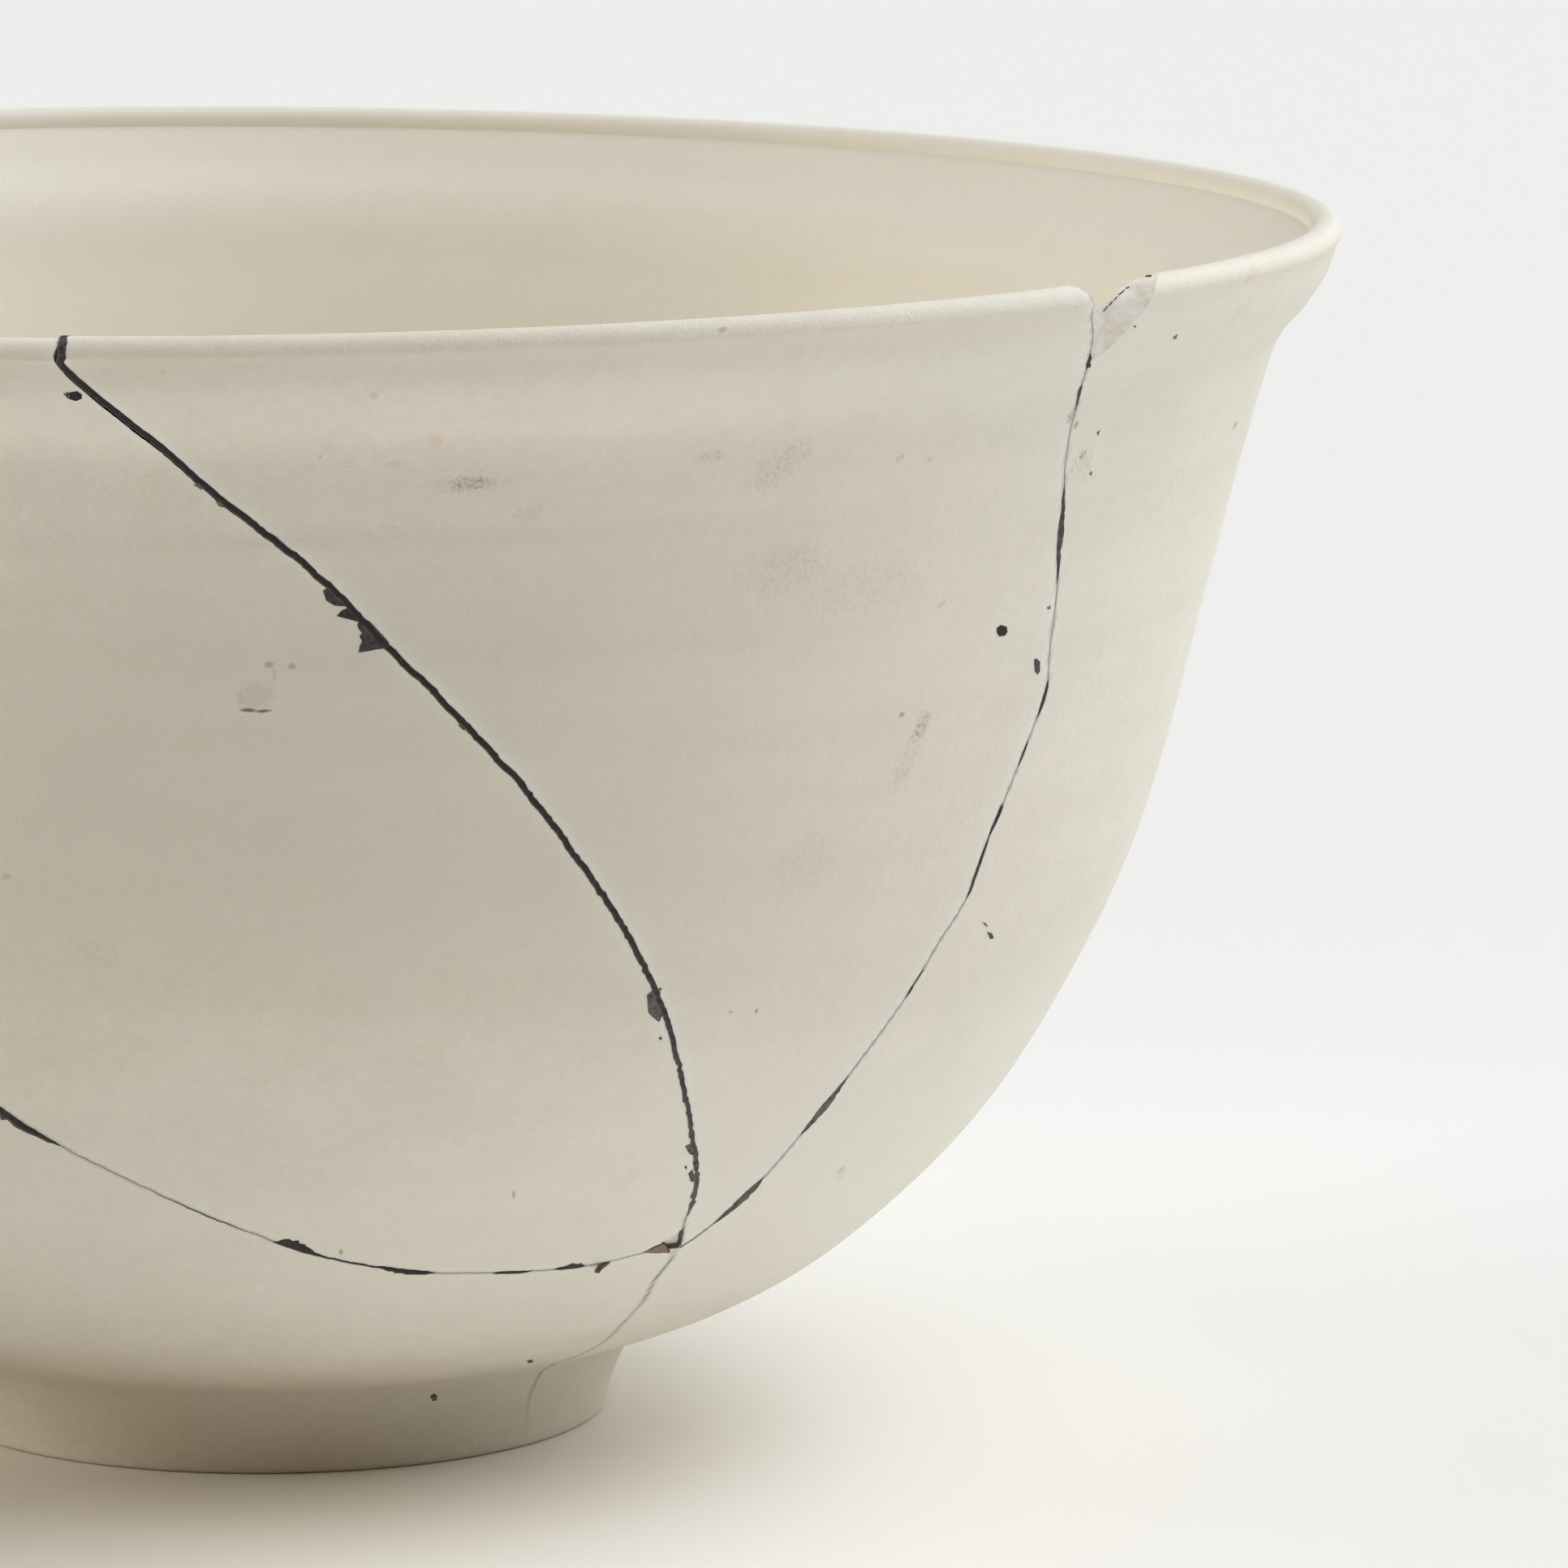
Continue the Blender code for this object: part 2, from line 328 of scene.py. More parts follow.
def warped(x, y, z):
    """The rim rose and fell a little in the kiln, the more the higher up the wall."""
    return Vector((x, y, z - RIM_WARP * 2 * x * y / RIM_RADIUS ** 2 * (z / HEIGHT) ** 2)) * MM


def lean(side, height):
    """How far a side of the wall goes out for each millimetre up."""
    return lookup(side, height + 0.4) / 0.8 - lookup(side, height - 0.4) / 0.8


def on_wall(turn, height, lift=0.0):
    """The point of the outside at an angle and a height, lifted square off it."""
    slope = lean(outside, height)
    radius = lookup(outside, height) + relief(turn, height) + lift / hypot(1.0, slope)
    height -= lift * slope / hypot(1.0, slope)
    return warped(radius * cos(radians(turn)), radius * sin(radians(turn)), height)


def stepped(turn, height, across, up):
    """The angle and height reached by going across and up the outside, in millimetres."""
    return (
        turn + degrees(across / lookup(outside, height)),
        height + up / hypot(1.0, lean(outside, height)))


ring_inside = FOOT_RADIUS - FOOT_RING_WIDTH
recess_edge = ring_inside - 0.10 * FOOT_RING_WIDTH
underside = [(0.0, FOOT_RECESS)] + smooth([
    (2.0, FOOT_RECESS), (recess_edge - 0.20 * FOOT_RECESS, FOOT_RECESS),
    (recess_edge - 0.03 * FOOT_RECESS, 0.88 * FOOT_RECESS), (recess_edge, 0.75 * FOOT_RECESS),
    (ring_inside, FOOT_EDGE), (ring_inside + 0.3 * FOOT_EDGE, 0.3 * FOOT_EDGE),
    (ring_inside + FOOT_EDGE, 0.0)], 1.5)
foot_edge = [
    (FOOT_RADIUS - FOOT_EDGE, 0.0), (FOOT_RADIUS - 0.5 * FOOT_EDGE, 0.13 * FOOT_EDGE),
    (FOOT_RADIUS - 0.13 * FOOT_EDGE, 0.5 * FOOT_EDGE)]
middle = FOOT_RECESS + FLOOR_THICKNESS
floor_edge, floor_height = inner[0]
inside_floor = [
    (floor_edge * share, middle + (floor_height - middle) * share ** 2.2)
    for share in (0.96, 0.90, 0.82, 0.72, 0.60, 0.46, 0.30, 0.14)] + [(0.0, middle)]
whole_section = underside + foot_edge + flank[:-1] + outer + lip + inner[::-1] + inside_floor

CLAY_SHADE = (0.800, 0.736, 0.618, 1.0)
CLAY = (0.910, 0.848, 0.732, 1.0)
CLAY_PINK = (0.840, 0.775, 0.690, 1.0)
CLAY_COOL = (0.825, 0.805, 0.735, 1.0)
SHADED_BELLY = (0.745, 0.695, 0.590, 1.0)
LIT_RIGHT_SIDE = (0.875, 0.850, 0.790, 1.0)
GLOWING_INSIDE = (0.940, 0.905, 0.825, 1.0)
LOW_WALL_BOUNCE = (0.930, 0.900, 0.830, 1.0)
FOOT_SOIL_AND_SHADE = (0.72, 0.630, 0.510, 1.0)
UNDER_LIP_SHADE = (0.80, 0.70, 0.60, 1.0)
EDGE_HIGHLIGHT_TINT = (0.900, 0.925, 0.900, 1.0)

porcelain = Finish("matt_porcelain", Specular_IOR_Level=0.35)
spot = porcelain.place()
up = porcelain.node("SeparateXYZ", {"Vector": spot}, output="Z")
to_right = porcelain.node("SeparateXYZ", {"Vector": spot}, output="X")
within = porcelain.marked("within")
clouds = porcelain.grain(spot, 15.0, detail=3.0)
drifts = porcelain.grain(spot, 5.0, detail=3.0)
mottle = porcelain.grain(spot, 0.9, detail=3.0)
skin = porcelain.grain(spot, 0.17, detail=2.0)
throwing = porcelain.grain(
    porcelain.node("Mapping", {"Vector": spot, "Scale": (0.06, 0.06, 1.0)}), 3.6, detail=2.0)
wall_colour = porcelain.blend(
    porcelain.spread(clouds * 0.25 + drifts * 0.2 + throwing * 0.3 + mottle * 0.25, 0.36, 0.64),
    CLAY_SHADE, CLAY)
warmer = porcelain.grain(porcelain.node("Mapping", {"Vector": spot, "Location": (40.0, 7.0, 3.0)}), 11.0)
wall_colour = porcelain.blend(porcelain.spread(warmer, 0.52, 0.75) * 0.2, wall_colour, CLAY_PINK)
wall_colour = porcelain.blend(porcelain.spread(warmer, 0.27, 0.48, 0.2, 0.0), wall_colour, CLAY_COOL)
# Painted light: the wall grows lighter and cooler towards the right, where the cool right-hand light falls on it and
# glows through the thin wall.
wall_colour = porcelain.blend(porcelain.spread(to_right, -5.0, 62.0) * 0.5, wall_colour, LIT_RIGHT_SIDE)
# Painted shade: the belly of the wall, at the front and left, is darkened in cloudy patches.
belly = porcelain.spread(up, 30.0, 48.0) * porcelain.spread(up, 64.0, 80.0, 1.0, 0.25)
wall_colour = porcelain.blend(
    belly * porcelain.spread(to_right, 18.0, 56.0, 1.0, 0.0) * (0.25 + 0.95 * clouds), wall_colour, SHADED_BELLY)
# Painted light: the inside is lightened, most at the left, for light bounced round the bowl and shining through its
# thin wall.
wall_colour = porcelain.blend(within * porcelain.spread(to_right, -40.0, 30.0, 0.95, 0.4), wall_colour, GLOWING_INSIDE)
# A darker, pinkish band on the outside under the lip: partly the clay's tint, partly painted shade under the lip's
# overhang, fading towards the lit right.
under_lip = porcelain.spread(up, 82.8, 84.2) * porcelain.spread(up, 84.6, 85.7, 1.0, 0.0) * (1.0 - within)
under_lip = under_lip * porcelain.spread(to_right, -10.0, 45.0, 1.0, 0.15)
wall_colour = porcelain.blend(under_lip * (0.35 + 0.5 * drifts), wall_colour, UNDER_LIP_SHADE)
# Painted light: the lower wall is lightened, more on the right, for light bounced up from the sweep.
low_wall_bounce = porcelain.spread(up, 9.0, 16.0) * porcelain.spread(up, 22.0, 42.0, 1.0, 0.0)
wall_colour = porcelain.blend(low_wall_bounce * (0.55 + 0.5 * clouds) * porcelain.spread(to_right, -5.0, 45.0, 0.65, 1.0), wall_colour, LOW_WALL_BOUNCE)
# The foot and the underside just above it are darkened and browned: partly soil on the bare foot, partly painted
# shade under the overhanging bowl.
on_foot = porcelain.spread(up, 6.7, 7.3, 1.0, 0.0)
wall_colour = porcelain.blend(
    on_foot * (0.1 + 0.45 * drifts) * porcelain.spread(to_right, -22.0, 8.0, 0.3, 1.0) + porcelain.spread(up, 7.0, 10.0, 0.22, 0.0) * (1.0 - on_foot),
    wall_colour, FOOT_SOIL_AND_SHADE)
# Painted highlight: a pale bluish line along the broken edges, where their rounded arrises catch the light.
wall_colour = porcelain.blend(porcelain.marked("edge_highlight") * 0.65, wall_colour, EDGE_HIGHLIGHT_TINT)
porcelain.wear(
    Base_Color=wall_colour,
    Roughness=0.5 + 0.22 * mottle,
    Normal=porcelain.node("Bump", {
        "Height": (skin + 0.7 * porcelain.grain(spot, 0.42)) * (1.0 - 0.75 * within), "Distance": 0.00006,
        "Strength": 1.0}))

bare_break = Finish("bare_break", Roughness=0.85, Specular_IOR_Level=0.2)
break_spot = bare_break.place()
bare_break.wear(
    Base_Color=bare_break.blend(
        bare_break.spread(bare_break.grain(break_spot, 0.5, detail=4.0), 0.3, 0.7),
        (0.87, 0.81, 0.73, 1.0), (0.96, 0.93, 0.88, 1.0)),
    Normal=bare_break.node("Bump", {
        "Height": bare_break.grain(break_spot, 0.18, detail=4.0), "Distance": 0.00004, "Strength": 0.8}))


def thrown(name, first=0, last=TURNS, fine_lines=None):
    """The bowl from one of its turns' steps to another, a slice of it closed at both ends."""
    whole = last - first == TURNS
    start = radians(first * 360.0 / TURNS)
    bm = bmesh.new()
    verts = [bm.verts.new((radius * cos(start), radius * sin(start), height)) for radius, height in whole_section]
    edges = [bm.edges.new(pair) for pair in zip(verts, verts[1:])]
    ends = []
    if not whole:
        edges.append(bm.edges.new((verts[-1], verts[0])))
        ends = [bm.faces.new(verts)]
    bmesh.ops.spin(
        bm, geom=verts + edges + ends, axis=(0.0, 0.0, 1.0), cent=(0.0, 0.0, 0.0),
        angle=2 * pi * (last - first) / TURNS, steps=last - first, use_merge=whole)
    bmesh.ops.remove_doubles(bm, verts=bm.verts, dist=0.0005)
    if fine_lines:
        close = [
            face for face in bm.faces
            if len(face.verts) == 4 and fine_lines.find(warped(*face.calc_center_median()))[2] < FINE_BAND * MM]
        bmesh.ops.subdivide_edges(
            bm, edges=list({edge for face in close for edge in face.edges}), cuts=FINE_CUTS, use_grid_fill=True)
    for vert in bm.verts:
        x, y, z = vert.co
        radius = hypot(x, y)
        if FOOT_EDGE < z < RINGS[-1][0] and radius > lookup(outside, z) - 0.4:
            stretch = (lookup(outside, z) + relief(degrees(atan2(y, x)), z)) / radius
            x, y = x * stretch, y * stretch
        vert.co = warped(x, y, z)
    bmesh.ops.recalc_face_normals(bm, faces=bm.faces)
    return new_piece(name, bm, porcelain.material, bare_break.material)


# ---- The break ----
# The bowl broke into a body and two sherds of the wall. The joints between them run
# square through the wall, tight almost everywhere and open down the left seam.

FOCUS = Vector((0.0, 0.0, 55.0)) * MM
# Each seam on the outside of the wall: (degrees round, height in mm)
JUNCTION = (-51.7, 19.0)
LEFT_SEAM = [
    (-97.0, 86.4), (-97.1, 85.6), (-97.3, 85.0), (-97.0, 84.15), (-96.6, 83.5), (-96.1, 82.9),
    (-95.1, 81.6), (-92.7, 78.6), (-89.7, 75.0), (-86.6, 71.9), (-84.1, 69.2), (-80.8, 64.95),
    (-76.3, 59.5), (-72.1, 54.2), (-68.9, 49.7), (-66.3, 45.9), (-63.7, 41.85), (-61.7, 38.4),
    (-59.0, 33.35), (-56.1, 28.1), (-54.5, 25.4), (-53.5, 23.1), (-53.0, 21.0)]
RIGHT_SEAM = [
    (-50.5, 20.0), (-47.9, 23.1), (-45.8, 26.95), (-43.6, 30.95), (-41.1, 36.1), (-39.4, 40.45),
    (-38.1, 43.05), (-37.4, 47.2), (-36.0, 52.0), (-34.9, 55.35), (-34.5, 57.8), (-35.1, 60.6),
    (-35.6, 64.7), (-36.4, 68.5), (-36.9, 71.0), (-37.6, 74.5), (-38.1, 78.0), (-39.4, 80.5),
    (-40.3, 82.4), (-40.9, 83.9), (-41.1, 84.8), (-41.6, 85.7), (-42.6, 86.3)]
LOWER_SEAM = [
    (-55.7, 18.95), (-58.4, 18.6), (-65.9, 18.5), (-70.1, 18.7), (-74.1, 19.0), (-78.1, 19.6),
    (-83.4, 20.8), (-89.1, 22.95), (-94.6, 25.5), (-99.4, 28.05), (-101.9, 29.5), (-105.5, 32.1),
    (-113.0, 38.7), (-121.0, 48.6), (-129.0, 60.6), (-136.0, 73.5), (-141.0, 86.4)]
# The crack that runs on from the junction, down through the body and its foot
FOOT_CRACK = [
    (-51.9, 18.75), (-51.76, 18.1), (-51.79, 16.55), (-50.79, 14.55), (-50.38, 12.7), (-49.2, 10.9),
    (-48.3, 9.7), (-47.6, 8.7), (-46.4, 7.9), (-44.0, 7.1), (-41.7, 6.0), (-41.4, 5.0),
    (-41.3, 4.1), (-41.0, 3.2), (-40.0, 2.0), (-39.3, 0.8)]
SEAM_STEP = 0.3
TIGHT_JOINT = 0.035
# Half the left seam's opening at a height
LEFT_OPENING = [(19.0, TIGHT_JOINT), (21.4, TIGHT_JOINT), (22.6, 0.11), (38.0, 0.13), (46.0, 0.19), (86.4, 0.19)]
RAGGED = 0.06
# The left sherd was set a little low
LEFT_SHERD_DROP = 0.13


def course(seam):
    """A seam's course: smoothed, then roughened sideways as broken porcelain is."""
    rough = []
    for turn, height in smooth(seam, SEAM_STEP):
        place = Vector((turn, height, 3.0))
        sway = 1.6 * RAGGED * noise.noise(place * 0.8) + RAGGED * noise.noise(place * 3.0)
        settled = min(1.0, max(0.0, (83.0 - height) / 4.0))
        rough.append(stepped(turn, height, sway * settled, 0.5 * sway * settled))
    return rough


left_course = course(LEFT_SEAM + [JUNCTION])
right_course = course([JUNCTION] + RIGHT_SEAM)
lower_course = course([JUNCTION] + LOWER_SEAM)
crack_course = course(FOOT_CRACK)


def nearness(*courses):
    """A finder of the nearest point of the courses on the outside of the wall."""
    points = []
    for line in courses:
        for (turn, height), (next_turn, next_height) in zip(line, line[1:]):
            for share in (0.0, 0.33, 0.67):
                points.append(on_wall(turn + share * (next_turn - turn), height + share * (next_height - height)))
    finder = KDTree(len(points))
    for index, point in enumerate(points):
        finder.insert(point, index)
    finder.balance()
    return finder


def over_rim(point):
    """The place well above the rim, over a seam's end."""
    return on_wall(point[0], HEIGHT) + Vector((0.0, 0.0, 14.0 * MM))


def cell(name, outline, growth):
    """All that lies behind an outline, seen from the focus, moved out or in by each joint's half width.

    The outline runs round a sherd from rim to rim as ((degrees, height), half width).
    """
    ring = [place for place, gap in outline]
    way = 1.0 if sum(a[0] * b[1] - b[0] * a[1] for a, b in zip(ring, ring[1:] + ring[:1])) > 0 else -1.0
    points = [on_wall(*place) for place in ring] + [over_rim(ring[-1]), over_rim(ring[0])]
    gaps = [gap for place, gap in outline] + [outline[-1][1], outline[0][1]]
    bm = bmesh.new()
    far = []
    for index, (point, gap) in enumerate(zip(points, gaps)):
        along = (points[(index + 1) % len(points)] - points[index - 1]).normalized()
        aside = along.cross((point - FOCUS).normalized()).normalized() * way
        far.append(bm.verts.new(FOCUS + 1.6 * (point + aside * gap * growth * MM - FOCUS)))
    middle = sum(points, Vector()) / len(points)
    tip = bm.verts.new(FOCUS)
    cap = bm.verts.new(FOCUS + Vector((middle.x, middle.y, 0.0)).normalized() * 2.2 * RIM_RADIUS * MM)
    for a, b in zip(far, far[1:] + far[:1]):
        bm.faces.new((tip, a, b))
        bm.faces.new((cap, b, a))
    bmesh.ops.recalc_face_normals(bm, faces=bm.faces)
    for face in bm.faces:
        face.material_index = 1
    return new_piece(name, bm, porcelain.material, bare_break.material)


def cut(piece, operation, *tools):
    """The piece cut by the tools, one after another, and made one mesh."""
    for tool in tools:
        step = piece.modifiers.new(tool.name, 'BOOLEAN')
        step.operation = operation
        step.solver = 'EXACT'
        step.object = tool
    bpy.context.view_layer.update()
    depsgraph = bpy.context.evaluated_depsgraph_get()
    mesh = bpy.data.meshes.new_from_object(piece.evaluated_get(depsgraph))
    piece.modifiers.clear()
    piece.data = mesh
    return piece


def sherd(node, piece, edges, edge_light):
    """A finished piece of the bowl, smooth but for its broken edges, standing for a node."""
    mesh = piece.data
    within = mesh.attributes.new("within", 'FLOAT', 'POINT')
    edge_highlight = mesh.attributes.new("edge_highlight", 'FLOAT', 'POINT')
    crack_soil = mesh.attributes.new("crack_soil", 'FLOAT', 'POINT')
    for vert in mesh.vertices:
        x, y, z = vert.co / MM
        inwards = lookup(outside, z) - hypot(x, y)
        if inwards < 0.5 or z < 8.0:
            from_edge = edges.find(vert.co)[2] / MM
            from_crack = crack_finder.find(vert.co)[2] / MM
            # A painted highlight along the broken edges, fading within about half a millimetre.
            edge_highlight.data[vert.index].value = edge_light * exp(-max(0.0, from_edge - 0.2) / 0.4)
            crack_soil.data[vert.index].value = max(
                exp(-(from_crack / 0.15) ** 2) * (0.1 + 0.9 * min(1.0, max(0.0, z - 1.5) / 5.5)),
                0.7 * exp(-(from_edge / 0.11) ** 2))
        if z > 8.0:
            within.data[vert.index].value = min(1.0, max(0.0, inwards))
    for polygon in mesh.polygons:
        polygon.use_smooth = True
    mesh.set_sharp_from_angle(angle=radians(40.0))
    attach(piece, "root")
    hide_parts(node)
    return piece


left_joint = [(place, lookup(LEFT_OPENING, place[1])) for place in left_course]
right_joint = [(place, TIGHT_JOINT) for place in right_course]
lower_joint = [(place, TIGHT_JOINT) for place in lower_course]
front_outline = left_joint + right_joint[1:]
left_outline = lower_joint[::-1] + left_joint[-2::-1]
front_place = cell("front_sherd_place", front_outline, 1.0)
left_place = cell("left_sherd_place", left_outline, 1.0)
front_cell = cell("front_sherd_cell", front_outline, -1.0)
left_cell = cell("left_sherd_cell", left_outline, -1.0)

# The chip out of the rim: its outer edge on the wall, then its inner edge on the same
# stations, (degrees round, height), and how far in the inner edge lies
CHIP_OUTER = [
    (-34.2, 88.0), (-35.3, 86.0), (-35.8, 85.5), (-36.2, 84.8), (-36.5, 83.8), (-37.0, 83.2),
    (-37.8, 82.2), (-38.4, 81.2), (-39.2, 80.6), (-41.5, 78.6)]
CHIP_INNER = [
    (-33.6, 87.8), (-34.5, 85.9), (-35.4, 85.9), (-35.6, 85.8), (-36.2, 85.4), (-37.1, 84.8),
    (-37.6, 84.3), (-38.0, 83.7), (-38.8, 82.8), (-41.0, 80.6)]
CHIP_DEPTH = 1.8
CHIP_REACH = 9.0

bm = bmesh.new()
bmesh.ops.create_grid(bm, x_segments=60, y_segments=24, size=0.5)
outer_edge, inner_edge = smooth(CHIP_OUTER, 0.1), smooth(CHIP_INNER, 0.1)
for vert in bm.verts:
    along, through = vert.co.x + 0.5, (vert.co.y + 0.5) * 4.0 - 1.4
    turn, height = (
        a + (b - a) * through
        for a, b in zip(
            outer_edge[round(along * (len(outer_edge) - 1))], inner_edge[round(along * (len(inner_edge) - 1))]))
    rough = noise.noise(Vector((along * 14.0, through * 3.0, 0.0))) + 0.6 * noise.noise(
        Vector((along * 45.0, through * 9.0, 4.0)))
    radius = lookup(outside, min(height, HEIGHT - 1.5)) - CHIP_DEPTH * through
    turn -= degrees(0.10 * rough / radius)
    vert.co = warped(radius * cos(radians(turn)), radius * sin(radians(turn)), height + 0.08 * rough)
away = on_wall(-50.0, 86.0) - on_wall(-38.0, 83.0)
away = away.normalized() * CHIP_REACH * MM
extruded = bmesh.ops.extrude_face_region(bm, geom=bm.faces[:])["geom"]
bmesh.ops.translate(bm, verts=[part for part in extruded if isinstance(part, bmesh.types.BMVert)], vec=away)
bmesh.ops.recalc_face_normals(bm, faces=bm.faces)
for face in bm.faces:
    face.material_index = 1
rim_chip = new_piece("rim_chip", bm, porcelain.material, bare_break.material)

# The pit at the left sherd's tip, where a crumb broke out: (degrees, height), then its depth
PIT = [
    (-55.6, 18.95), (-54.81, 19.43), (-53.9, 19.66), (-53.45, 20.1), (-52.9, 20.7), (-52.2, 20.3),
    (-51.9, 19.4), (-51.8, 18.6), (-53.0, 18.55)]
PIT_DEPTH = 0.4

bm = bmesh.new()
mouth = bm.faces.new([bm.verts.new(on_wall(turn, height, 0.6)) for turn, height in PIT])
pushed = bmesh.ops.extrude_face_region(bm, geom=[mouth])["geom"]
pit_floor = [part for part in pushed if isinstance(part, bmesh.types.BMVert)]
inwards = on_wall(-53.5, 19.3, -0.6 - PIT_DEPTH) - on_wall(-53.5, 19.3)
bmesh.ops.translate(bm, verts=pit_floor, vec=inwards)
bmesh.ops.recalc_face_normals(bm, faces=bm.faces)
for face in bm.faces:
    face.material_index = 1
tip_pit = new_piece("tip_pit", bm, porcelain.material, bare_break.material)

front_finder = nearness(left_course, right_course)
left_finder = nearness(left_course, lower_course)
crack_finder = nearness(crack_course)
seam_finder = nearness(left_course, right_course, lower_course)
all_finder = nearness(left_course, right_course, lower_course, crack_course)
front_sherd = cut(thrown("front_wall_sherd", -68, -18, front_finder), 'INTERSECT', front_cell)
left_sherd = cut(thrown("left_wall_sherd", -98, -30, left_finder), 'INTERSECT', left_cell)
left_sherd = cut(left_sherd, 'DIFFERENCE', tip_pit)
for vert in left_sherd.data.vertices:
    vert.co.z -= LEFT_SHERD_DROP * MM * (vert.co.z / (HEIGHT * MM)) ** 2
body = cut(thrown("thrown_body", fine_lines=all_finder), 'DIFFERENCE', front_place, left_place, rim_chip)
sherd("bowl_body", body, seam_finder, 0.2)
sherd("front_sherd", front_sherd, front_finder, 1.0)
sherd("left_sherd", left_sherd, left_finder, 0.6)
for tool in (front_place, left_place, front_cell, left_cell, rim_chip, tip_pit):
    bpy.data.objects.remove(tool)


# ---- The lacquer in the joints ----
# Black lacquer, mixed with fine ash and pressed into the joints, then scraped nearly
# level with the wall when hard. It stands a hair proud where a chipped edge was filled,
# lies below the edges of a tight joint, and is rubbed grey in places.

LACQUER_DEPTH = 0.5
LACQUER_PROUD = 0.03
LACQUER_SUNK = 0.008
LACQUER_BLACK = (0.011, 0.010, 0.010, 1.0)
LACQUER_DUSTY = (0.034, 0.030, 0.027, 1.0)
LACQUER_RUBBED = (0.17, 0.163, 0.153, 1.0)
LACQUER_BROWN = (0.27, 0.20, 0.135, 1.0)
# The fillings up each seam: (height, half width left and right in mm, how rubbed)
LEFT_FILLING = [
    (19.0, 0.03, 0.03, 0.3), (21.7, 0.04, 0.04, 0.6), (22.1, 0.12, 0.12, 0.8), (22.7, 0.24, 0.16, 0.7),
    (26.0, 0.24, 0.15, 0.5), (30.0, 0.21, 0.15, 0.4), (34.0, 0.21, 0.16, 0.3), (38.0, 0.23, 0.18, 0.2),
    (42.0, 0.23, 0.20, 0.1), (60.0, 0.23, 0.21, 0.0), (82.0, 0.22, 0.20, 0.0), (84.2, 0.25, 0.23, 0.1),
    (85.2, 0.29, 0.26, 0.4), (86.4, 0.26, 0.23, 0.4)]
RIGHT_FILLING = [
    (19.0, 0.05, 0.08, 0.4), (20.7, 0.06, 0.06, 0.3), (21.4, 0.28, 0.26, 0.5), (22.6, 0.40, 0.46, 0.7),
    (23.4, 0.28, 0.36, 0.5), (24.0, 0.03, 0.03, 0.2), (26.9, 0.03, 0.03, 0.2), (28.0, 0.24, 0.30, 0.7),
    (29.0, 0.34, 0.50, 0.9), (30.2, 0.18, 0.24, 0.6), (31.2, 0.03, 0.03, 0.2), (36.3, 0.03, 0.03, 0.0),
    (37.1, 0.14, 0.14, 0.0), (37.5, 0.07, 0.07, 0.0), (38.2, 0.10, 0.10, 0.0), (38.7, 0.03, 0.03, 0.0),
    (42.9, 0.03, 0.03, 0.1), (44.0, 0.15, 0.15, 0.2), (45.5, 0.17, 0.18, 0.1), (46.9, 0.10, 0.10, 0.0),
    (47.5, 0.08, 0.08, 0.1), (48.6, 0.20, 0.20, 0.1), (49.4, 0.20, 0.22, 0.0), (49.8, 0.03, 0.03, 0.0),
    (52.0, 0.03, 0.03, 0.3), (52.6, 0.12, 0.10, 0.2), (53.6, 0.12, 0.08, 0.1), (54.1, 0.03, 0.03, 0.1),
    (55.2, 0.03, 0.03, 0.1), (56.4, 0.28, 0.15, 0.0), (57.5, 0.19, 0.10, 0.0), (58.1, 0.03, 0.03, 0.1),
    (64.6, 0.03, 0.03, 0.2), (65.8, 0.10, 0.16, 0.2), (67.0, 0.18, 0.27, 0.4), (68.4, 0.26, 0.45, 0.4),
    (70.0, 0.15, 0.23, 0.3), (71.3, 0.10, 0.12, 0.3), (71.8, 0.03, 0.03, 0.1), (77.0, 0.05, 0.05, 0.4),
    (77.9, 0.13, 0.16, 0.6), (78.6, 0.12, 0.18, 0.2), (78.9, 0.03, 0.03, 0.2), (80.0, 0.03, 0.03, 0.2),
    (80.2, 0.12, 0.20, 0.0), (80.9, 0.12, 0.20, 0.0), (81.2, 0.03, 0.03, 0.0), (86.4, 0.03, 0.03, 0.0)]
